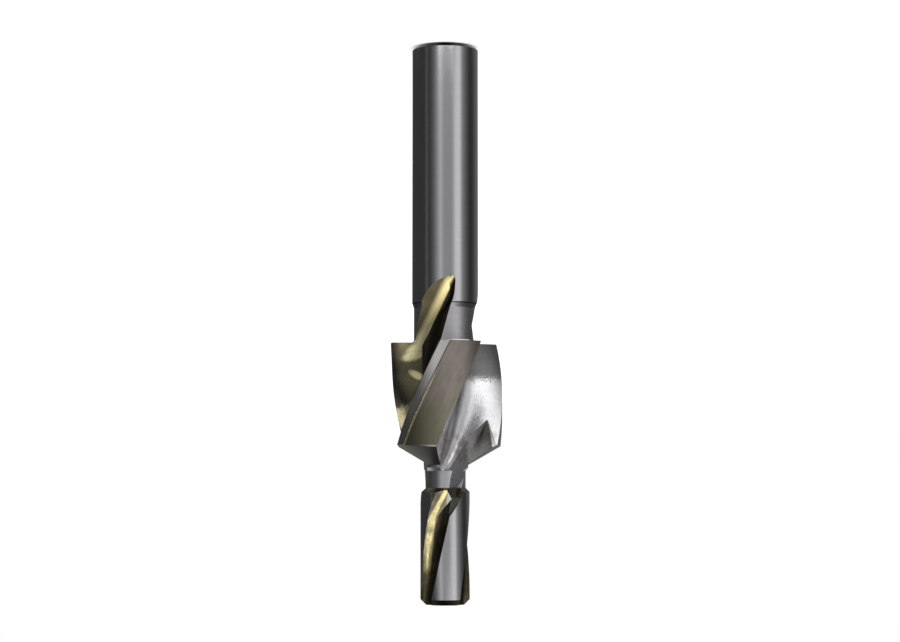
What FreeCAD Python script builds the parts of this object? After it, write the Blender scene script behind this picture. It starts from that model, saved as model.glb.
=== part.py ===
import FreeCAD, Part
import math
import os
import Sketcher

Vector = FreeCAD.Vector

# Stepped countersink: a straight shank, a slimmer neck, a three-flute head with a 120 degree cone,
# an undercut, and a fluted pilot that guides the tool in a drilled hole. All of it is one bar of steel.
# It is drawn as a spindle holds it, with the pilot's flat end at the origin and the shank above it,
# and is turned over at the end to stand on its shank: the origin is then the centre of the shank's
# flat end, and +Z runs up the axis to the pilot.
# Angles round the axis start at -Y and grow toward +X as it is drawn, the way the right-hand flutes climb.

doc = FreeCAD.newDocument("stepped_countersink")

# Driving dimensions, in millimetres and degrees
DIMENSIONS = (
    ("shank_diameter", 12.0),
    ("shank_length", 47.0),
    ("shank_chamfer", 0.7),
    ("neck_diameter", 11.35),
    ("neck_length", 6.3),
    ("neck_taper_length", 1.0),
    ("neck_root_chamfer", 0.4),
    ("head_diameter", 20.75),
    ("head_length", 18.55),
    ("cone_angle", 120.0),
    ("collar_diameter", 8.4),
    ("collar_length", 0.45),
    ("collar_taper_length", 0.6),
    ("undercut_diameter", 7.45),
    ("undercut_length", 3.05),
    ("pilot_diameter", 8.9),
    ("pilot_length", 21.0),
    ("pilot_end_chamfer", 1.0),
    ("pilot_top_chamfer", 0.75),
    ("flute_count", 3),
    ("helix_lead", 129.5),
    ("land_angle", 47.0),
    ("margin_angle", 10.0),
    ("margin_step", 0.1),
    ("land_relief", 0.74),
    ("head_wheel_radius", 37.7),
    ("head_wheel_depth", 1.24),
    ("head_wheel_offset", 6.61),
    ("head_wheel_tilt", 30.9),
    ("head_wheel_face_angle", 19.8),
    ("head_wheel_edge_angle", 20.6),
    ("head_flute_start", 8.15),
    ("head_flute_stop", 3.85),
    ("pilot_wheel_radius", 22.0),
    ("pilot_wheel_depth", 2.6),
    ("pilot_wheel_offset", 2.15),
    ("pilot_wheel_tilt", 30.9),
    ("pilot_wheel_face_angle", 20.0),
    ("pilot_wheel_edge_angle", 20.0),
    ("pilot_flute_stop", 7.0),
    ("gash_wheel_radius", 24.0),
    ("gash_wheel_depth", 1.2),
    ("gash_wheel_offset", 4.85),
    ("gash_wheel_tilt", 22.0),
    ("gash_wheel_side", 3.2),
    ("gash_face_angle", 50.0),
    ("gash_wall_angle", 50.0),
    ("gash_centre_drop", 2.2),
)
# Heights up the tool, and the corners of its half profile as radius and height from the pilot's end up
HEIGHTS = (
    ("undercut_top", "pilot_length + undercut_length"),
    ("collar_foot", "undercut_top + collar_taper_length"),
    ("cone_base", "collar_foot + collar_length"),
    ("cone_rise", "(head_diameter - collar_diameter) / 2 / tan(cone_angle * 1 deg / 2)"),
    ("head_base", "cone_base + cone_rise"),
    ("head_back", "head_base + head_length"),
    ("neck_top", "head_back + neck_length"),
    ("shank_base", "neck_top + neck_taper_length"),
    ("tool_length", "shank_base + shank_length"),
)
CORNERS = (
    ("pilot_end_flat", "pilot_diameter / 2 - pilot_end_chamfer", None),
    ("pilot_end_edge", "pilot_diameter / 2", "pilot_end_chamfer"),
    ("pilot_top_edge", "pilot_diameter / 2", "pilot_length - pilot_top_chamfer"),
    ("pilot_top_face", "pilot_diameter / 2 - pilot_top_chamfer", "pilot_length"),
    ("undercut_low", "undercut_diameter / 2", "pilot_length"),
    ("undercut_high", "undercut_diameter / 2", "undercut_top"),
    ("collar_low", "collar_diameter / 2", "collar_foot"),
    ("cone_low", "collar_diameter / 2", "cone_base"),
    ("head_low", "head_diameter / 2", "head_base"),
    ("head_high", "head_diameter / 2", "head_back"),
    ("neck_low", "neck_diameter / 2", "head_back"),
    ("neck_high", "neck_diameter / 2", "neck_top"),
    ("shank_low", "shank_diameter / 2", "shank_base"),
    ("shank_high", "shank_diameter / 2", "tool_length - shank_chamfer"),
    ("shank_flat", "shank_diameter / 2 - shank_chamfer", "tool_length"),
)
sheet = doc.addObject("Spreadsheet::Sheet", "Dimensions")
rows = [(alias, str(number)) for alias, number in DIMENSIONS]
rows += [(alias, "=" + formula) for alias, formula in HEIGHTS]
for corner, radius, height in CORNERS:
    rows.append((corner + "_radius", "=" + radius))
    if height:
        rows.append((corner + "_height", "=" + height))
for row, (alias, content) in enumerate(rows, start=1):
    sheet.set("A%d" % row, alias)
    sheet.set("B%d" % row, content)
    sheet.setAlias("B%d" % row, alias)
doc.recompute()


def size(alias):
    return float(getattr(sheet, alias))


def origin_part(body, role):
    return [part for part in body.Origin.OriginFeatures if part.Role == role][0]


def turned_blank():
    """The bar as it is turned, before any flute: a half profile, revolved, with a small chamfer at the neck's root."""
    body = doc.addObject("PartDesign::Body", "turned_blank")
    sketch = body.newObject("Sketcher::SketchObject", "half_profile")
    sketch.AttachmentSupport = [(origin_part(body, "XZ_Plane"), "")]
    sketch.MapMode = "FlatFace"
    points = []
    for corner, radius, height in CORNERS:
        points.append(Vector(size(corner + "_radius"), size(corner + "_height") if height else 0, 0))
    outline = [Vector(0, 0, 0)] + points + [Vector(0, points[-1].y, 0)]
    lines = [
        sketch.addGeometry(Part.LineSegment(a, b), False)
        for a, b in zip(outline, outline[1:] + outline[:1])
    ]
    for number, line in enumerate(lines):
        following = lines[(number + 1) % len(lines)]
        sketch.addConstraint(Sketcher.Constraint("Coincident", line, 2, following, 1))
    sketch.addConstraint(Sketcher.Constraint("Coincident", lines[0], 1, -1, 1))
    sketch.addConstraint(Sketcher.Constraint("Horizontal", lines[-2]))
    sketch.addConstraint(Sketcher.Constraint("Vertical", lines[-1]))
    for line, point, (corner, radius, height) in zip(lines, points, CORNERS):
        bind(sketch, "DistanceX", line, point.x, corner + "_radius")
        if height:
            bind(sketch, "DistanceY", line, point.y, corner + "_height")
        else:
            sketch.addConstraint(Sketcher.Constraint("Horizontal", line))
    turned = body.newObject("PartDesign::Revolution", "turned_profile")
    turned.Profile = sketch
    turned.ReferenceAxis = (sketch, ["V_Axis"])
    turned.Angle = 360
    doc.recompute()
    root = body.newObject("PartDesign::Chamfer", "neck_root")
    root.Base = (turned, circles(turned.Shape, size("neck_low_radius"), size("head_back")))
    root.setExpression("Size", "Dimensions.neck_root_chamfer")
    body.Tip = root
    doc.recompute()
    return body


def bind(sketch, kind, line, amount, alias):
    """Holds the end of a line at a distance from the origin that the table gives."""
    index = sketch.addConstraint(Sketcher.Constraint(kind, -1, 1, line, 2, amount))
    sketch.renameConstraint(index, alias)
    sketch.setExpression("Constraints." + alias, "Dimensions." + alias)


def circles(shape, radius, height):
    """The names of the round edges of one radius at one height."""
    close = 0.001
    return [
        "Edge%d" % number
        for number, edge in enumerate(shape.Edges, start=1)
        if hasattr(edge.Curve, "Radius")
        and abs(edge.Curve.Radius - radius) < close
        and abs(edge.Curve.Center.z - height) < close
    ]


def polar(radius, angle, height):
    return Vector(radius * math.sin(angle), -radius * math.cos(angle), height)


def turned_about_axis(shape, degrees):
    return shape.rotated(Vector(0, 0, 0), Vector(0, 0, 1), degrees)


# Flutes: each is what a V-edged grinding wheel leaves as it climbs the helix and then lifts out.
# The wheel's rim is a circle in a plane that is tilted from the axis and seen edge-on from the front.
ROOT_SPAN = 1.35
CREASE_GAP = 0.4
RIM_SHARE = 0.8
REACH_STEPS = 40


class Wheel:
    """One wheel and the heights of its centre at the two ends of its stroke."""

    def __init__(self, name, low, high):
        self.radius = size(name + "_wheel_radius")
        self.depth = size(name + "_wheel_depth")
        self.offset = size(name + "_wheel_offset")
        self.tilt = math.radians(size(name + "_wheel_tilt"))
        self.face_angle = math.radians(size(name + "_wheel_face_angle"))
        self.edge_angle = math.radians(size(name + "_wheel_edge_angle"))
        self.low = low
        self.high = high
        self.climb = 2 * math.pi / size("helix_lead")

    def angle_at(self, rise, height):
        return self.climb * (height - rise - self.high)

    def rim(self, rise, height):
        """The rim's point that is rise above the wheel's centre, as radius and angle."""
        across = -self.offset + rise * math.tan(self.tilt)
        sag = self.radius - math.sqrt(self.radius ** 2 - (rise / math.cos(self.tilt)) ** 2)
        toward = self.depth + sag
        angle = math.atan2(across, toward) + self.angle_at(rise, height)
        return math.hypot(across, toward), angle

    def cuts(self, radius, angle, rise):
        """How far the wheel reaches past a point in its own frame."""
        across = radius * math.sin(angle) + self.offset
        toward = radius * math.cos(angle) - self.depth - self.radius
        off_plane = across * math.cos(self.tilt) - rise * math.sin(self.tilt)
        along = across * math.sin(self.tilt) + rise * math.cos(self.tilt)
        if off_plane > 0:
            reach = self.radius - off_plane / math.tan(self.face_angle)
        else:
            reach = self.radius + off_plane * math.tan(self.edge_angle)
        return reach - math.hypot(along, toward)

    def flank(self, radius, rise, side):
        """The angle at which the wheel's flank crosses a radius, or None where it misses it."""
        across = -self.offset + rise * math.tan(self.tilt)
        if abs(across) >= radius:
            return None
        inner = math.asin(across / radius)
        if self.cuts(radius, inner, rise) <= 0:
            return None
        step = side * math.radians(4)
        while self.cuts(radius, inner + step, rise) > 0:
            inner += step
        outer = inner + step
        for _ in range(16):
            middle = (inner + outer) / 2
            if self.cuts(radius, middle, rise) > 0:
                inner = middle
            else:
                outer = middle
        return inner

    def reach(self, radius, height, side):
        """The furthest angle that any place of the wheel reaches at this radius and height."""
        lowest = height - self.high
        highest = height - self.low
        best = None
        for number in range(REACH_STEPS + 1):
            rise = lowest + (highest - lowest) * number / REACH_STEPS
            if abs(rise) > RIM_SHARE * self.radius * math.cos(self.tilt):
                continue
            angle = self.flank(radius, rise, side)
            if angle is None:
                continue
            angle += self.angle_at(rise, height)
            if best is None or side * angle > side * best:
                best = angle
        return best

    def root(self):
        """The rises between which the rim forms the flute's root."""
        span = RIM_SHARE * self.radius * math.cos(self.tilt)
        rises = [span * (number / 100 - 1) for number in range(201)]
        least = min(rises, key=lambda rise: self.rim(rise, 0)[0])
        limit = self.rim(least, 0)[0] * ROOT_SPAN
        inside = [rise for rise in rises if self.rim(rise, 0)[0] < limit]
        return inside[0], inside[-1]

    def section(self, height, outer):
        """The outline that the wheel has cut at one height, closed by an arc outside the stock."""
        first, last = self.root()
        low = max(first, height - self.high)
        top = min(last, height - self.low)
        if low > last - CREASE_GAP:
            top = low + CREASE_GAP
        elif top - low < CREASE_GAP:
            low = top - CREASE_GAP
        rises = [low + (top - low) * share for share in (0, 1 / 3, 2 / 3, 1)]
        root = [self.rim(rise, height) for rise in rises]
        crease = root[0][0]
        corner = root[-1][0]
        face = [corner + (outer - corner) * share for share in (1 / 3, 2 / 3, 1)]
        back = [crease + (outer - crease) * share for share in (0.2, 0.5, 1)]
        right = root + [(radius, self.reach(radius, height, 1)) for radius in face]
        left = root[:1] + [(radius, self.reach(radius, height, -1)) for radius in back]
        right = [polar(radius, angle, height) for radius, angle in right]
        left = [polar(radius, angle, height) for radius, angle in left]
        middle = (right[-1] + left[-1]).multiply(0.5)
        middle.z = 0
        middle = middle.normalize().multiply(outer)
        middle.z = height
        edges = []
        for points in (right, left):
            curve = Part.BSplineCurve()
            curve.interpolate(points)
            edges.append(curve.toShape())
        edges.insert(1, Part.Arc(right[-1], middle, left[-1]).toShape())
        return Part.Wire(Part.__sortEdges__(edges))

    def path(self, bottom, top, stations, outer):
        """The solid that the wheel sweeps away, as a loft through its outlines from bottom to top."""
        wires = []
        for number in range(stations):
            height = bottom + (top - bottom) * number / (stations - 1)
            wires.append(self.section(height, outer))
        return Part.makeLoft(wires, True, False)


def cutter(name, shape):
    """One cutting shape and its copies round the axis, as one object of the document."""
    count = int(size("flute_count"))
    copies = [turned_about_axis(shape, 360.0 * number / count) for number in range(count)]
    tool = doc.addObject("Part::Feature", name)
    tool.Shape = Part.makeCompound(copies)
    return tool


# How far the cutting shapes reach past the stock, and the outlines that each is lofted through
CUT_OUTSIDE = 1.6
HEAD_STATIONS = 10
HEAD_PATH_FOOT = 0.8
HEAD_PATH_TOP = 17.0
PILOT_STATIONS = 6
PILOT_PATH_FOOT = -1.5
PILOT_PATH_TOP = 8.5
PILOT_STROKE = 60.0
RELIEF_STATIONS = 5
RELIEF_FOOT = 4.0
RELIEF_TOP = 1.0
RELIEF_SHARES = (0, 0.5, 1.1)
GASH_DEPTH = 9.0
LEAST_CUT = 1.0


def head_wheel():
    low = size("head_base") - size("head_flute_start")
    high = size("head_back") - size("head_flute_stop")
    return Wheel("head", low, high)


def head_flutes(wheel):
    outer = size("head_diameter") / 2 + CUT_OUTSIDE
    foot = wheel.low + HEAD_PATH_FOOT
    return cutter("head_flutes", wheel.path(foot, wheel.high + HEAD_PATH_TOP, HEAD_STATIONS, outer))


def pilot_flutes():
    """The pilot's wheel starts well below its end, so the flutes are open there."""
    high = size("pilot_length") - size("pilot_flute_stop")
    wheel = Wheel("pilot", high - PILOT_STROKE, high)
    outer = size("pilot_diameter") / 2 + CUT_OUTSIDE
    return cutter("pilot_flutes", wheel.path(PILOT_PATH_FOOT, high + PILOT_PATH_TOP, PILOT_STATIONS, outer))


def land_reliefs(wheel):
    """Behind each margin the land drops by a small step and then falls away toward its heel."""
    radius = size("head_diameter") / 2
    middle = (size("head_base") + size("head_back")) / 2
    lead = wheel.reach(radius, middle, 1)
    start = math.radians(size("margin_angle"))
    spread = math.radians(size("land_angle")) - start
    step = size("margin_step")
    fall = size("land_relief") - step
    low = size("head_base") - RELIEF_FOOT
    high = size("head_back") + RELIEF_TOP
    wires = []
    for number in range(RELIEF_STATIONS):
        height = low + (high - low) * number / (RELIEF_STATIONS - 1)
        turn = lead + wheel.climb * (height - middle) + start
        inner = [polar(radius - step - fall * share, turn + spread * share, height) for share in RELIEF_SHARES]
        outer = [polar(radius + CUT_OUTSIDE, turn + spread * share, height) for share in RELIEF_SHARES]
        wires.append(Part.Wire([
            Part.Arc(*inner).toShape(),
            Part.LineSegment(inner[-1], outer[-1]).toShape(),
            Part.Arc(*reversed(outer)).toShape(),
            Part.LineSegment(outer[0], inner[0]).toShape(),
        ]))
    return cutter("land_reliefs", Part.makeLoft(wires, True, False))


def gashes():
    """A V-edged wheel with a flat side, plunged once at each cutting edge of the cone."""
    radius = size("gash_wheel_radius")
    side = size("gash_wheel_side")
    tilt = math.radians(size("gash_wheel_tilt"))
    face = math.tan(math.radians(size("gash_face_angle")))
    wall = math.tan(math.radians(size("gash_wall_angle")))
    centre = Vector(size("gash_wheel_offset"), -size("gash_wheel_depth") - radius,
                    size("head_base") - size("gash_centre_drop"))
    corners = []
    for inward, sideways in ((0, 0), (GASH_DEPTH, GASH_DEPTH / face), (GASH_DEPTH, -side), (side / wall, -side)):
        across = Vector(sideways * math.cos(tilt), 0, -sideways * math.sin(tilt))
        corners.append(centre + Vector(0, radius - inward, 0) + across)
    axis = Vector(math.cos(tilt), 0, -math.sin(tilt))
    outline = Part.makePolygon(corners + corners[:1])
    return cutter("gashes", Part.Face(outline).revolve(centre, axis, 360))


def take_away(name, base, tool):
    result = doc.addObject("Part::Cut", name)
    result.Base = base
    result.Tool = tool
    doc.recompute()
    if result.Shape.Volume > base.Shape.Volume - LEAST_CUT:
        raise ValueError(name + " cuts nothing")
    return result


def main():
    wheel = head_wheel()
    solid = turned_blank()
    solid = take_away("relieved", solid, land_reliefs(wheel))
    solid = take_away("fluted_head", solid, head_flutes(wheel))
    solid = take_away("fluted_pilot", solid, pilot_flutes())
    solid = take_away("stepped_countersink", solid, gashes())
    half_turn = FreeCAD.Rotation(Vector(0, 1, 0), 180)
    solid.Placement = FreeCAD.Placement(Vector(0, 0, size("tool_length")), half_turn)
    solid.setExpression(".Placement.Base.z", "Dimensions.tool_length")
    doc.recompute()
    for item in doc.Objects:
        if "Invalid" in item.State or "Error" in item.State:
            raise ValueError(item.Name + " failed")
    shape = solid.Shape
    if shape.isNull() or not shape.isValid() or len(shape.Solids) != 1:
        raise ValueError("the countersink is not one sound solid")
    os.makedirs("parts", exist_ok=True)
    shape.Solids[0].exportStep("parts/stepped_countersink.step")
    print(shape.Volume, shape.BoundBox, len(shape.Faces))


main()
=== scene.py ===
import math
import bpy
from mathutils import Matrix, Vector


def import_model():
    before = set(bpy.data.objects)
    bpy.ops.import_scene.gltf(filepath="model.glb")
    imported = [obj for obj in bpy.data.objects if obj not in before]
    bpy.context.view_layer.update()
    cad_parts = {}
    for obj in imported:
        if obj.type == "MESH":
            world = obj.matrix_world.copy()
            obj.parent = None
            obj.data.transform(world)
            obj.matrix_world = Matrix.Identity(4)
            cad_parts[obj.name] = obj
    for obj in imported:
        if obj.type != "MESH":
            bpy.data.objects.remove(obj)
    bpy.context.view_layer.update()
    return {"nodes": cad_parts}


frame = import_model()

MM = 0.001
TOOL = frame["nodes"]["stepped_countersink"]

# The tool stands on its shank, and the photograph shows it the other way up, with the pilot down.
# Heights, radii and angles here are the photograph's: heights in millimetres from the pilot's end up,
# and angles from the side that faces the camera, growing to the right.
TOOL_LENGTH = 101.515
SHANK_RADIUS = 6.0
SHANK_FOOT = 54.515
SHANK_EDGE = 100.815
NECK_RADIUS = 5.675
NECK_TAPER = 1.0
HEAD_RADIUS = 10.375
HEAD_FOOT = 28.665
HEAD_BACK = 47.215
CONE_FOOT = 25.1
CONE_HALF_ANGLE = 60.0
COLLAR_RADIUS = 4.2
UNDERCUT_RADIUS = 3.725
PILOT_RADIUS = 4.45
PILOT_TOP = 21.0
LEAD = 129.5
FLUTES = 3

# The land behind each cutting edge, in degrees from the edge
EDGE_PHASE = -135.5
MARGIN = 10.0
LAND = 47.0
LAND_STEP = 0.1
LAND_FALL = 0.64

# How far a point may lie from its surface's radius, in millimetres, and still count as on it
SHANK_FIT = 0.08
NECK_FIT = 0.1
MARGIN_FIT = 0.06
RELIEF_FIT = 0.14
UNDERCUT_FIT = 0.4

# The gash at the foot of each flute: where its third of a turn starts and where it ends, in degrees,
# the height where its cut in the head starts, and its sides, each as millimetres across at a height
# and their growth for each millimetre up
GASH_START = -40.0
GASH_END = 38.0
GASH_SPLIT = 24.6
PILOT_GASH_SIDE = (0.16, 17.3, 0.11)
HEAD_GASH_LEFT = (2.9, 24.6, 0.546)
HEAD_GASH_RIGHT = (7.65, 33.3, -0.33)

# The valley of the run-out, with a straw highlight painted over its temper colour: its upper end as
# millimetres across and up, how far it moves across for each millimetre up, and the place across where it
# turns upright in the head
VALLEY_TOP = (1.26, 57.92)
VALLEY_SLOPE = 0.491
VALLEY_UPRIGHT = -4.3

# Painted straw highlights in the head under the run-out: centre across and up, half width and height, and
# tilt
KNEE_HIGHLIGHT = (-5.7, 44.9, 2.3, 1.0, 0.25)
LOW_HIGHLIGHT = (-5.2, 41.4, 1.5, 0.8, -0.4)

# The steel's colours as seen on screen, from 0 to 255. A pair is blended by marks, stains or height.
SHANK_STEEL = ((190, 190, 192), (206, 206, 209))
# Painted shade on the shank's end face and its chamfer
END_CHAMFER_SHADE = (84, 84, 86)
NECK_STEEL = ((168, 167, 169), (205, 204, 207))
# Painted shade on the neck's taper under the shank, and a painted shadow line at the shank's step
TAPER_SHADE = (122, 121, 122)
NECK_STEP_SHADOW = (60, 60, 60)
# A painted highlight on the ring at the neck's root, which is also made less metallic
ROOT_RING_HIGHLIGHT = (232, 232, 234)
CONE_STEEL = ((80, 80, 75), (98, 98, 92))
LAND_STEEL = ((130, 123, 116), (142, 135, 130))
# Painted reflections on the lands: pink bands along the axis, and olive lower down
LAND_PINK_REFLECTION = (160, 147, 141)
LAND_OLIVE_REFLECTION = (113, 111, 86)
# The margin's steel, painted lighter towards the shank as a painted highlight
MARGIN_STEEL_AND_HIGHLIGHT = ((196, 194, 189), (222, 219, 217))
# Painted shade along the step beside the margin, and a painted highlight line beside it
STEP_SHADE = (74, 72, 68)
STEP_HIGHLIGHT = (214, 208, 176)
FLUTE_STEEL = ((170, 169, 170), (216, 215, 218))
UNPOLISHED_STEEL = ((84, 83, 83), (124, 123, 123))
# The head's gash: a painted highlight at its foot, and painted shade higher up
HEAD_GASH_LIGHT_AND_SHADE = ((196, 196, 194), (108, 108, 105))
WORN_BROWN = (126, 112, 98)
OLIVE = ((94, 90, 70), (134, 127, 98))
BROWN_STREAK = (84, 74, 56)
# Straw for painted highlights and reflections, in part the temper colour, and a brighter straw where they lie
# in shade
STRAW_HIGHLIGHT = ((182, 164, 104), (230, 219, 168))
BRIGHTER_STRAW_HIGHLIGHT = (252, 240, 190)
RUN_OUT_BROWN = ((46, 40, 28), (78, 68, 46))
# Painted shade on the flute's rim at the left and under the cutting edge
FLUTE_RIM_SHADE = (46, 42, 34)
UNDER_EDGE_SHADE = (54, 50, 44)
PILOT_FLUTE = ((66, 61, 50), (98, 91, 74))
PILOT_GASH = (118, 118, 114)

# The photograph's frame, in pixels, and the camera that saw it, in metres
FRAME_WIDTH = 900
FRAME_HEIGHT = 642
AXIS_PIXEL = 445.1
HORIZON_PIXEL = 475.0
FOCAL_PIXELS = 2199.0
CAMERA_DISTANCE = 0.399
CAMERA_HEIGHT = 0.0233
SENSOR_WIDTH = 36.0

# The studio, in metres. Its walls stand round the tool, and only the steel's reflections see them:
# grey levels by angle, in degrees, counted from the camera as the photograph shows the tool.
# Behind the tool they are pale above and below a stretch, given as its foot, its top and its soft edge.
FLOOR_REACH = 4.0
FLOOR_WHITE = 243
FLOOR_GLOW = 0.3
WALL_RADIUS = 0.25
WALL_FOOT = -0.3
WALL_TOP = 0.42
WALL_FACES = 96
WALL_LEVELS = (
    (-180, 0.20), (-150, 0.05), (-80, 0.05), (-71, 0.05), (-68, 0.24), (-65, 0.05), (-52, 0.07),
    (-38, 0.18), (-24, 0.45), (-15, 0.68), (-9, 0.42), (0, 0.38), (22, 0.37), (31, 0.60),
    (37, 0.80), (50, 0.90), (56, 0.66), (60, 0.34), (76, 0.14), (92, 0.05), (106, 0.04),
    (122, 0.10), (150, 0.20), (180, 0.20),
)
PLAIN_STRETCH = (-0.075, 0.15, 0.03)
PALE_WALL = 0.65
PALE_FROM = 92
PALE_FULL = 118
CLOTH_BLACK = 0.06
CLOTH_FULL = 0.12
CEILING_LEVEL = 0.1
UNDER_LEVEL = 0.35

# Lamps aimed from a distance, in metres, at a height of the head, in the photograph's millimetres:
# azimuth and elevation in degrees, as the photograph shows them, width and height in metres, and level
LAMP_DISTANCE = 0.24
LAMP_TARGET = 38.0
LAMPS = {
    "run_out_light": (22, -38, 0.13, 0.19, 3.0),
    "flute_light": (1, 38, 0.21, 0.08, 2.7),
    "side_light": (-88, -29, 0.09, 0.03, 1.2),
}


def linear(red, green, blue):
    """A colour as seen on screen, from 0 to 255, as the shader's linear value."""
    channels = []
    for value in (red, green, blue):
        share = value / 255
        channels.append(share / 12.92 if share <= 0.04045 else ((share + 0.055) / 1.055) ** 2.4)
    return (*channels, 1.0)


class Sock:
    """One socket of a node tree, with arithmetic that adds Math nodes."""

    def __init__(self, tree, socket):
        self.tree = tree
        self.socket = socket

    def math(self, operation, *others):
        return self.tree.node("ShaderNodeMath", {"operation": operation}, [self, *others])

    def __add__(self, other):
        return self.math("ADD", other)

    __radd__ = __add__

    def __mul__(self, other):
        return self.math("MULTIPLY", other)

    __rmul__ = __mul__

    def __sub__(self, other):
        return self.math("SUBTRACT", other)

    def __rsub__(self, other):
        return self.tree.node("ShaderNodeMath", {"operation": "SUBTRACT"}, [other, self])

    def __truediv__(self, other):
        return self.math("DIVIDE", other)

    def __gt__(self, other):
        return self.math("GREATER_THAN", other)

    def __lt__(self, other):
        return self.math("LESS_THAN", other)


class Tree:
    """A material's nodes, with one method that adds any node."""

    def __init__(self, name):
        self.material = bpy.data.materials.new(name)
        self.material.use_nodes = True
        self.nodes = self.material.node_tree.nodes
        self.links = self.material.node_tree.links
        self.nodes.clear()

    def node(self, kind, settings=None, inputs=None, output=0):
        made = self.nodes.new(kind)
        for key, value in (settings or {}).items():
            setattr(made, key, value)
        pairs = inputs.items() if isinstance(inputs, dict) else enumerate(inputs or [])
        for key, value in pairs:
            if isinstance(value, Sock):
                self.links.new(value.socket, made.inputs[key])
            else:
                made.inputs[key].default_value = value
        return Sock(self, made.outputs[output]) if len(made.outputs) else None

    def coordinates(self, output):
        """The x, y and z of a Texture Coordinate output: Object in metres, or Normal."""
        place = self.node("ShaderNodeTexCoord", output=output)
        split = self.node("ShaderNodeSeparateXYZ", None, [place])
        return [Sock(self, part) for part in split.socket.node.outputs]

    def smooth(self, value, low, high):
        """From 0 at low to 1 at high, with soft ends."""
        return self.node("ShaderNodeMapRange", {"interpolation_type": "SMOOTHSTEP"},
                         {"Value": value, "From Min": low, "From Max": high})

    def near(self, value, target, width):
        """1 where value is at target, and 0 beyond width."""
        return 1 - self.smooth((value - target).math("ABSOLUTE"), width * 0.5, width)

    def band(self, value, low, high, soft):
        """1 between low and high, with soft ends."""
        return self.smooth(value, low - soft, low + soft) * (1 - self.smooth(value, high - soft, high + soft))

    def blend(self, factor, first, second):
        """Each colour is a socket, or a colour as seen on screen."""
        first, second = (part if isinstance(part, Sock) else linear(*part) for part in (first, second))
        return self.node("ShaderNodeMix", {"data_type": "RGBA"},
                         {0: factor, 6: first, 7: second}, output=2)

    def noise(self, x, y, z, scale, detail, roughness):
        return self.node("ShaderNodeTexNoise", None, {
            "Vector": self.vector(x, y, z), "Scale": scale, "Detail": detail, "Roughness": roughness})

    def vector(self, x, y, z):
        return self.node("ShaderNodeCombineXYZ", None, [x, y, z])

    def glow(self, level):
        """Finishes a material that only shines, at a grey level."""
        shader = self.node("ShaderNodeEmission", None, {
            "Color": self.vector(level, level, level), "Strength": 1.0})
        self.node("ShaderNodeOutputMaterial", None, [shader])


class Place:
    """Where a point of the steel lies, in the photograph's terms, and how it faces."""

    def __init__(self, tree):
        across, depth, up = (part / MM for part in tree.coordinates("Object"))
        self.x = across * -1.0
        self.y = depth
        self.z = TOOL_LENGTH - up
        self.radius = (self.x * self.x + self.y * self.y).math("SQRT")
        self.angle = self.x.math("ARCTAN2", self.y * -1.0)
        self.phase = self.angle - self.z * (2 * math.pi / LEAD)
        sector = 2 * math.pi / FLUTES
        turned = (self.phase - math.radians(EDGE_PHASE)) / sector
        self.behind = turned.math("FRACT") * (360.0 / FLUTES)
        start = math.radians(GASH_START)
        self.folded = ((self.angle - start) / sector).math("FRACT") * sector + start
        self.sideways = self.radius * self.folded.math("SINE")

        # How squarely the surface faces away from the axis: 1 on turned surfaces, less on the cuts
        normal_x, normal_y, _ = tree.coordinates("Normal")
        outward = (normal_x * across + normal_y * depth) / self.radius
        level_share = (normal_x * normal_x + normal_y * normal_y).math("SQRT").math("MAXIMUM", 0.01)
        squarely = tree.smooth(outward / level_share, 0.94, 0.975)
        self.round_faced = squarely * tree.smooth(outward, 0.88, 0.93)

    def past_side(self, side):
        """Millimetres past a gash's side."""
        across, height, growth = side
        return self.sideways - (self.z - height) * growth - across


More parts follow.
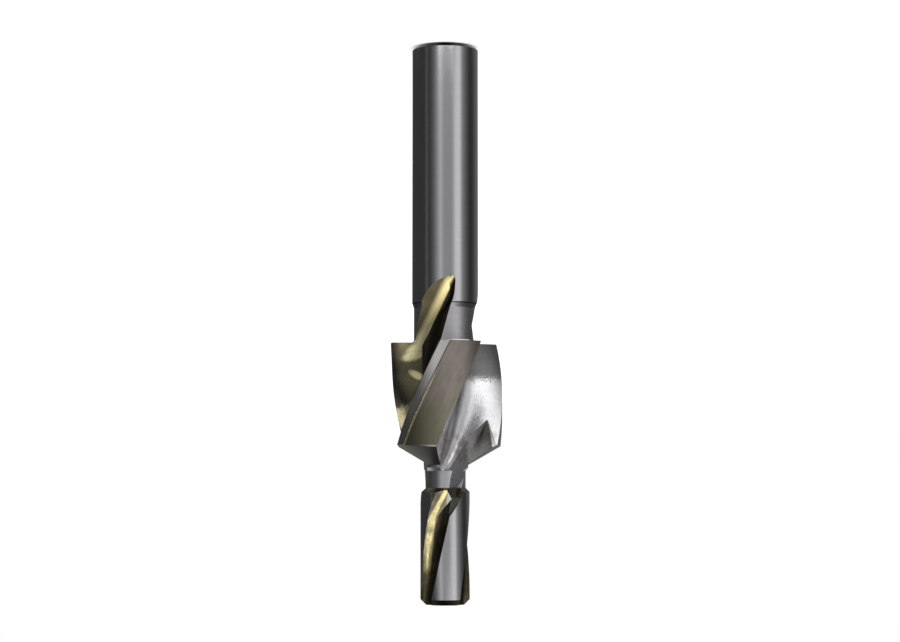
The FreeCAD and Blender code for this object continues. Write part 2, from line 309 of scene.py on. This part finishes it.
class Surfaces:
    """Which of the tool's surfaces a point lies on: 1 on it, and 0 off it."""

    def __init__(self, tree, at):
        z, radius, behind = at.z, at.radius, at.behind
        shank = tree.smooth(z, SHANK_FOOT - 0.1, SHANK_FOOT) * tree.near(radius, SHANK_RADIUS, SHANK_FIT)
        shank = shank * at.round_faced
        self.shank = shank.math("MAXIMUM", tree.smooth(z, SHANK_EDGE - 0.1, SHANK_EDGE))

        taper_slope = (SHANK_RADIUS - NECK_RADIUS) / NECK_TAPER
        neck_radius = (z - SHANK_FOOT + NECK_TAPER).math("MAXIMUM", 0.0) * taper_slope + NECK_RADIUS
        neck = tree.band(z, HEAD_BACK + 0.02, SHANK_FOOT, 0.03) * tree.near(radius, neck_radius, NECK_FIT)
        self.neck = neck * at.round_faced * (1 - self.shank)
        root_ring = tree.band(radius, 5.6, 6.2, 0.05)
        self.root = tree.band(z, HEAD_BACK + 0.03, HEAD_BACK + 0.42, 0.03) * root_ring

        self.head = tree.band(z, HEAD_FOOT - 0.05, HEAD_BACK + 0.05, 0.04)
        margin = tree.near(radius, HEAD_RADIUS, MARGIN_FIT) * (behind < MARGIN + 0.4)
        self.margin = margin * self.head
        fall = ((behind - MARGIN) / (LAND - MARGIN)) * LAND_FALL
        relieved = tree.near(radius, HEAD_RADIUS - LAND_STEP - fall, RELIEF_FIT)
        relieved = relieved * (behind < LAND + 6.0) * (behind > MARGIN - 0.5)
        self.land = relieved * self.head * (1 - self.margin) * at.round_faced

        cone_radius = COLLAR_RADIUS + (z - CONE_FOOT) * math.tan(math.radians(CONE_HALF_ANGLE))
        self.cone = tree.near(radius, cone_radius, RELIEF_FIT) * tree.band(z, CONE_FOOT, HEAD_FOOT, 0.05)
        undercut = tree.near(radius, UNDERCUT_RADIUS + 0.2, UNDERCUT_FIT)
        undercut = tree.band(z, PILOT_TOP, CONE_FOOT, 0.05) * undercut
        pilot = 1 - tree.smooth(z, PILOT_TOP - 0.7, PILOT_TOP - 0.6)
        self.pilot = pilot * tree.near(radius, PILOT_RADIUS, SHANK_FIT) * at.round_faced

        turned = self.shank
        for surface in (self.neck, self.land, self.margin, self.pilot, undercut, self.cone):
            turned = turned.math("MAXIMUM", surface)
        self.turned = turned
        self.flute = 1 - turned

        # The gash that ends each flute at the cone, and runs on over the undercut to the pilot
        gash = tree.smooth(at.past_side(PILOT_GASH_SIDE), -0.1, 0.1) * tree.band(z, 14.5, GASH_SPLIT, 0.1)
        self.gash = gash * (at.folded < math.radians(GASH_END))
        left = tree.smooth(at.past_side(HEAD_GASH_LEFT), -0.15, 0.15) * (z > GASH_SPLIT)
        right = 1 - tree.smooth(at.past_side(HEAD_GASH_RIGHT), -0.05, 0.05)
        self.head_gash = left * right * self.flute


class Marks:
    """Grinding marks, round the axis on turned surfaces and along the helix in the flutes, and stains."""

    def __init__(self, tree, at):
        x, y, z = at.x, at.y, at.z
        self.rings = tree.noise(at.angle * 0.5, z * 14.0, at.radius * 2.0, 3.0, 4.0, 0.7)
        self.coarse_rings = tree.noise(at.angle * 0.3, z * 2.2, 0.0, 3.0, 3.0, 0.6)
        self.streaks = tree.noise(at.phase * 26.0, at.radius * 9.0, z * 0.12, 3.0, 4.0, 0.7)
        self.broad_streaks = tree.noise(at.phase * 6.0, at.radius * 1.6, z * 0.1, 2.0, 3.0, 0.6)
        self.cloud = tree.noise(x * 0.3, y * 0.3, z * 0.22, 1.2, 4.0, 0.65)
        self.patch = tree.noise(x * 0.5 + 7.0, y * 0.5, z * 0.4, 1.3, 3.0, 0.6)
        self.fine = tree.noise(x * 3.0, y * 3.0, z * 3.0, 3.0, 3.0, 0.6)
        self.grain = tree.noise(x * 1.6, y * 1.6, z * 1.6, 3.0, 2.0, 0.6)


def turned_colour(tree, at, on, marks):
    """Bright steel of the shank and the pilot, greyer on the neck, the lands and the cone, with painted
    shade, highlights and reflections.
    """
    z = at.z
    colour = tree.blend(marks.coarse_rings, *SHANK_STEEL)
    # The shank's end face and its chamfer get a painted shade
    colour = tree.blend(z > SHANK_EDGE - 0.02, colour, END_CHAMFER_SHADE)
    neck_colour = tree.blend(tree.smooth(marks.rings, 0.36, 0.64), *NECK_STEEL)
    # Painted shade on the taper next to the shank's step
    taper_shade = tree.smooth(z, SHANK_FOOT - 1.1, SHANK_FOOT - 0.95)
    colour = tree.blend(on.neck, colour, tree.blend(taper_shade, neck_colour, TAPER_SHADE))
    # A painted shadow line where the neck meets the shank
    step_shadow = tree.band(z, SHANK_FOOT - 0.3, SHANK_FOOT - 0.06, 0.05) * on.neck
    colour = tree.blend(step_shadow, colour, NECK_STEP_SHADOW)
    colour = tree.blend(on.cone, colour, tree.blend(marks.fine, *CONE_STEEL))

    land_colour = tree.blend(tree.smooth(marks.cloud, 0.3, 0.7), *LAND_STEEL)
    # Painted reflections: pink bands along the axis, and olive towards the head's foot
    land_colour = tree.blend(tree.smooth(marks.broad_streaks, 0.45, 0.75) * 0.35, land_colour, LAND_PINK_REFLECTION)
    low_land_reflection = 1 - tree.smooth(z + (marks.broad_streaks - 0.5) * 12.0, 31.0, 42.0)
    land_colour = tree.blend(low_land_reflection * 0.7, land_colour, LAND_OLIVE_REFLECTION)
    colour = tree.blend(on.land, colour, land_colour)
    # The margin is painted lighter towards the shank, a painted highlight
    colour = tree.blend(on.margin, colour, tree.blend(tree.smooth(z, 33.0, 42.0), *MARGIN_STEEL_AND_HIGHLIGHT))

    # The step beside the margin gets a line of painted shade, with a painted highlight line beside it low
    # down
    shade = tree.near(at.behind, MARGIN - 0.3, 0.9) * on.head
    colour = tree.blend(shade * 0.8, colour, STEP_SHADE)
    line = tree.near(at.behind, MARGIN + 0.9, 1.2) * on.head * (1 - tree.smooth(z, 39.0, 43.0))
    return tree.blend(line * tree.smooth(marks.fine, 0.36, 0.56), colour, STEP_HIGHLIGHT)


def unpolished_end(tree, at, on, marks):
    """The upper end of each flute, where the wheel has not polished it."""
    ragged = at.z + (marks.grain - 0.5) * 4.5 + (marks.streaks - 0.5) * 2.0
    return tree.smooth(ragged, 40.0, 41.4) * on.flute


def flute_colour(tree, at, on, marks, unpolished):
    """The flutes: bright where the wheel has polished them, dark and grainy where they end."""
    z = at.z
    colour = tree.blend(marks.streaks, *FLUTE_STEEL)
    colour = tree.blend(unpolished * 0.92, colour, tree.blend(marks.grain, *UNPOLISHED_STEEL))
    # The head's gash gets a painted highlight at its foot and painted shade higher up
    colour = tree.blend(on.head_gash, colour, tree.blend(tree.smooth(z, 26.0, 31.0), *HEAD_GASH_LIGHT_AND_SHADE))
    worn = tree.smooth(marks.patch, 0.42, 0.62) * tree.band(z, GASH_SPLIT, 31.0, 1.2) * (1 - on.head_gash)
    return tree.blend(worn * 0.5, colour, WORN_BROWN)


def highlight_spot(tree, at, marks, spot):
    """A painted straw highlight with a grainy edge."""
    across, height, half_width, half_height, tilt = spot
    aside = at.x - across
    reach = (aside / half_width).math("POWER", 2.0)
    reach = reach + ((at.z - height - aside * tilt) / half_height).math("POWER", 2.0)
    return 1 - tree.smooth(reach + (marks.grain - 0.5) * 1.2, 0.1, 1.3)


def temper_and_painted_light_colour(tree, at, marks, straw_highlight):
    """Temper colours with painted light: straw along the valley, where the two faces of the cut meet, as a
    painted highlight, brown up the face, painted shade on the rim and under the cutting edge, and painted
    straw highlights below."""
    x, z = at.x, at.z
    valley_across, valley_height = VALLEY_TOP
    line = ((z - valley_height) * VALLEY_SLOPE + valley_across).math("MAXIMUM", VALLEY_UPRIGHT)
    beside = x - line
    olive = tree.blend(tree.smooth(marks.cloud, 0.35, 0.65), *OLIVE)
    colour = tree.blend(tree.smooth(marks.streaks, 0.4, 0.7) * 0.5, olive, BROWN_STREAK)
    run_out = tree.smooth(z, 47.0, 48.5)
    colour = tree.blend(run_out * 0.8, colour, tree.blend(marks.streaks, *RUN_OUT_BROWN))
    # Painted shade along the flute's rim at the left
    colour = tree.blend((1 - tree.smooth(x, -9.8, -8.0)) * 0.85, colour, FLUTE_RIM_SHADE)

    # A straw highlight painted along the valley, over its temper colour
    drift = beside + (z - 47.0).math("MINIMUM", 0.0) * -0.9 + (marks.streaks - 0.5) * 0.8
    valley_highlight = tree.smooth(drift, -2.1, -0.6) * (1 - tree.smooth(drift, 1.0, 1.8))
    valley_highlight = valley_highlight * tree.smooth(z, 44.6, 46.2)
    # A painted straw reflection low at the left of the head
    low_straw_reflection = tree.band(z + (marks.patch - 0.5) * 5.0, 31.5, 36.0, 0.8) * (x < -5.0)
    highlighted = valley_highlight.math("MAXIMUM", low_straw_reflection)
    for spot in (KNEE_HIGHLIGHT, LOW_HIGHLIGHT):
        highlighted = highlighted.math("MAXIMUM", highlight_spot(tree, at, marks, spot))
    # Painted straw highlights, brighter below the run-out to offset the shade they lie in
    colour = tree.blend(highlighted, colour, tree.blend(tree.smooth(z, 49.0, 53.0), BRIGHTER_STRAW_HIGHLIGHT, straw_highlight))
    # Painted shade on the wall under the cutting edge
    return tree.blend(tree.smooth(beside, 0.0, 0.25) * tree.smooth(z, 39.0, 41.0), colour, UNDER_EDGE_SHADE)


def pilot_flute_colour(tree, at, on, marks, straw_highlight):
    """The pilot's flutes are dark, with a painted straw highlight line beside the valley of the front one,
    brighter at two heights.
    """
    z = at.z
    colour = tree.blend(tree.smooth(marks.cloud, 0.35, 0.65), *PILOT_FLUTE)
    line_phase = tree.smooth(z, 15.0, 21.5) * math.radians(27.0) - math.radians(80.0)
    off_line = at.phase + (marks.streaks - 0.5) * 0.12 - line_phase
    line = tree.near(off_line, 0.0, math.radians(8.0)) * (at.angle < 0.3)
    lit = tree.near(z, 17.8, 5.0).math("MAXIMUM", tree.near(z, 9.5, 4.5)) * 0.5 + 0.15
    # The painted highlight breaks up in patches
    patchy = tree.smooth(marks.patch, 0.36, 0.66) * 0.5 + 0.5
    colour = tree.blend(line * lit * patchy, colour, straw_highlight)
    return tree.blend(on.gash, colour, PILOT_GASH)


def ground_steel():
    """The tool's steel: bright ground shank, finer ground lands, and flutes with straw temper colours, with
    painted shade, highlights and reflections.
    """
    tree = Tree("ground_steel")
    at = Place(tree)
    on = Surfaces(tree, at)
    marks = Marks(tree, at)
    unpolished = unpolished_end(tree, at, on, marks)
    # The streaked straw of the painted highlights
    straw_highlight = tree.blend(tree.smooth(marks.streaks, 0.35, 0.65), *STRAW_HIGHLIGHT)

    colour = turned_colour(tree, at, on, marks)
    colour = tree.blend(on.flute, colour, flute_colour(tree, at, on, marks, unpolished))
    # A painted highlight on the ring at the neck's root
    colour = tree.blend(on.root, colour, ROOT_RING_HIGHLIGHT)
    front_flute = (at.phase - math.radians(EDGE_PHASE - 35.0)).math("COSINE")
    front_flute = tree.smooth(front_flute, 0.45, 0.85) * on.flute
    # The front flute gets temper colours with painted shade, highlights and reflections
    temper_and_painted_light = front_flute * tree.smooth(at.z, 26.0, 30.0) * 0.96
    colour = tree.blend(temper_and_painted_light, colour, temper_and_painted_light_colour(tree, at, marks, straw_highlight))
    pilot_flute = (1 - tree.smooth(at.z, PILOT_TOP - 0.2, PILOT_TOP + 0.3)) * on.flute
    colour = tree.blend(pilot_flute, colour, pilot_flute_colour(tree, at, on, marks, straw_highlight))

    roughness = 0.3 - on.shank * 0.17 - on.pilot * 0.14 + on.neck * 0.06 + on.land * 0.16
    roughness = roughness + on.cone * 0.1 + on.root * 0.25 + unpolished * 0.15 - front_flute * 0.06
    roughness = roughness + (marks.rings - 0.5) * 0.08
    roughness = roughness + on.flute * ((marks.streaks - 0.5) * 0.2 + (marks.grain - 0.5) * 0.15)
    height = on.turned * marks.rings * 0.6 + on.neck * marks.coarse_rings * 0.8
    height = height + on.flute * (marks.streaks + marks.grain * 0.8 + marks.broad_streaks * 2.0)
    normal = tree.node("ShaderNodeBump", None, {"Strength": 0.14, "Distance": 0.00005, "Height": height})
    shader = tree.node("ShaderNodeBsdfPrincipled", None, {
        "Base Color": colour, "Metallic": 1 - on.root * 0.7, "Roughness": roughness, "Normal": normal})
    tree.node("ShaderNodeOutputMaterial", None, [shader])
    return tree.material


def stage_piece(name, corners, faces, material):
    mesh = bpy.data.meshes.new(name)
    mesh.from_pydata(corners, [], faces)
    made = bpy.data.objects.new(name, mesh)
    bpy.context.scene.collection.objects.link(made)
    mesh.materials.append(material)
    return made


def level_sheet(name, reach, height, material):
    """A square sheet that lies level, from -reach to reach."""
    corners = [(-reach, -reach, height), (reach, -reach, height),
               (reach, reach, height), (-reach, reach, height)]
    return stage_piece(name, corners, [(0, 1, 2, 3)], material)


def only_reflected(made):
    made.visible_camera = False
    made.visible_shadow = False
    made.visible_diffuse = False


def floor():
    tree = Tree("pale_floor")
    shader = tree.node("ShaderNodeBsdfPrincipled", None, {
        "Base Color": linear(FLOOR_WHITE, FLOOR_WHITE, FLOOR_WHITE), "Roughness": 0.9,
        "Emission Color": linear(255, 255, 255), "Emission Strength": FLOOR_GLOW})
    tree.node("ShaderNodeOutputMaterial", None, [shader])
    made = level_sheet("floor", FLOOR_REACH, 0, tree.material)
    made.visible_glossy = False
    made.visible_shadow = False


def wall_level(tree, share):
    """The wall's grey level by its share of a turn, from a curve with straight stretches."""
    level = tree.node("ShaderNodeFloatCurve", None, {"Value": share})
    mapping = level.socket.node.mapping
    curve = mapping.curves[0]
    places = [(angle / 360 + 0.5, value) for angle, value in WALL_LEVELS]
    for place, value in places[1:-1]:
        curve.points.new(place, value)
    for point, (place, value) in zip(curve.points, places):
        point.location = (place, value)
        point.handle_type = "VECTOR"
    mapping.update()
    return level


def studio_walls():
    tree = Tree("studio_wall")
    across, depth, up = tree.coordinates("Object")
    share = (across * -1.0).math("ARCTAN2", depth * -1.0) / (2 * math.pi) + 0.5
    beyond = 1 - tree.band(up, *PLAIN_STRETCH)
    pale = beyond * tree.smooth((share - 0.5).math("ABSOLUTE"), PALE_FROM / 360, PALE_FULL / 360)
    tree.glow(wall_level(tree, share) * (1 - pale) + pale * PALE_WALL)
    corners = []
    for number in range(WALL_FACES):
        turn = 2 * math.pi * number / WALL_FACES
        for height in (WALL_FOOT, WALL_TOP):
            corners.append((WALL_RADIUS * math.sin(turn), -WALL_RADIUS * math.cos(turn), height))
    faces = []
    for number in range(WALL_FACES):
        near_foot, far_foot = 2 * number, 2 * ((number + 1) % WALL_FACES)
        faces.append((near_foot, far_foot, far_foot + 1, near_foot + 1))
    only_reflected(stage_piece("studio_walls", corners, faces, tree.material))


def studio_cloth(name, height, level):
    """A cloth over or under the studio walls, black in its middle, so that the chamfers stay dark."""
    tree = Tree(name)
    across, depth, _ = tree.coordinates("Object")
    tree.glow(tree.smooth((across * across + depth * depth).math("SQRT"), CLOTH_BLACK, CLOTH_FULL) * level)
    only_reflected(level_sheet(name, WALL_RADIUS, height, tree.material))


def lamp(name, azimuth, elevation, width, height, level):
    """A soft lamp of an even level, aimed at the head."""
    turn, lift = math.radians(azimuth), math.radians(elevation)
    data = bpy.data.lights.new(name, "AREA")
    data.shape = "RECTANGLE"
    data.size, data.size_y = width, height
    data.energy = level * math.pi * width * height
    made = bpy.data.objects.new(name, data)
    back = Vector((-math.sin(turn) * math.cos(lift), -math.cos(turn) * math.cos(lift), -math.sin(lift)))
    made.location = back * LAMP_DISTANCE + Vector((0, 0, (TOOL_LENGTH - LAMP_TARGET) * MM))
    made.rotation_euler = back.to_track_quat("Z", "Y").to_euler()
    bpy.context.scene.collection.objects.link(made)


def world():
    made = bpy.data.worlds.new("studio")
    made.use_nodes = True
    bpy.context.scene.world = made
    made.node_tree.nodes["Background"].inputs[0].default_value = (1, 1, 1, 1)


def camera():
    """The photograph's camera, level with the undercut, and turned over as the photograph shows the tool."""
    data = bpy.data.cameras.new("camera")
    data.sensor_width = SENSOR_WIDTH
    data.lens = FOCAL_PIXELS / FRAME_WIDTH * SENSOR_WIDTH
    data.clip_start = 0.01
    yaw = math.atan2(FRAME_WIDTH / 2 - AXIS_PIXEL, FOCAL_PIXELS)
    pitch = math.atan2(HORIZON_PIXEL - FRAME_HEIGHT / 2, FOCAL_PIXELS)
    made = bpy.data.objects.new("camera", data)
    made.location = (0, -CAMERA_DISTANCE, TOOL_LENGTH * MM - CAMERA_HEIGHT)
    made.rotation_euler = (math.pi / 2 + pitch, math.pi, yaw)
    bpy.context.scene.collection.objects.link(made)
    bpy.context.scene.camera = made


bpy.context.scene.view_settings.view_transform = "Standard"
camera()
world()
floor()
studio_walls()
studio_cloth("ceiling", WALL_TOP, CEILING_LEVEL)
studio_cloth("under_cloth", WALL_FOOT, UNDER_LEVEL)
for name, settings in LAMPS.items():
    lamp(name, *settings)

for slot in TOOL.material_slots:
    slot.material = ground_steel()
